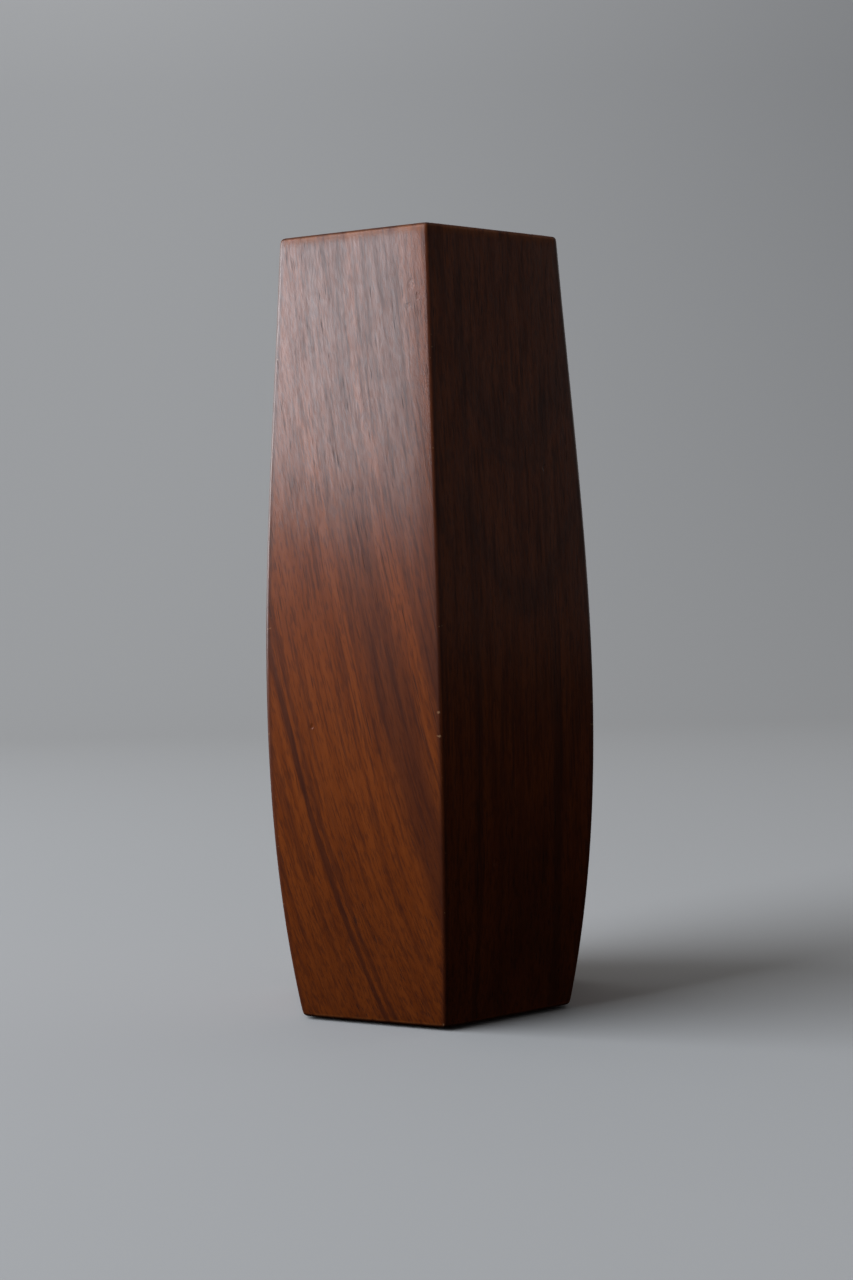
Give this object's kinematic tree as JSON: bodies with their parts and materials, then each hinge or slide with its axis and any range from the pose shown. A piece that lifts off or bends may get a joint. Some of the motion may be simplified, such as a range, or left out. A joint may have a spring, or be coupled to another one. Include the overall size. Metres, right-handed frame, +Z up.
{
  "type": "dip pen holder",
  "caption": "Tall faceted hardwood pot with swelling sides and a deep open well, for standing dip pens upright on a desk.",
  "frame": {"origin": "centre of the face the pot stands on", "axes": "+Z up along the pot's axis; the front stave faces -Y and a corner points to +X"},
  "size_m": [0.0772, 0.0672, 0.16],
  "materials": {
    "rosewood": "oiled and waxed, satin",
    "spline_wood": "sawn, unfinished",
    "floor_wood": "planed, oiled",
    "baize": "short felted nap",
    "felt": "pressed wool felt"
  },
  "bodies": {
    "root": {"front_stave": "rosewood", "front_right_stave": "rosewood", "back_right_stave": "rosewood", "back_stave": "rosewood", "back_left_stave": "rosewood", "front_left_stave": "rosewood", "right_front_spline": "spline_wood", "right_spline": "spline_wood", "right_back_spline": "spline_wood", "left_back_spline": "spline_wood", "left_spline": "spline_wood", "left_front_spline": "spline_wood", "floor_board": "floor_wood", "baize_sole": "baize", "felt_pad": "felt"}
  },
  "joints": []
}
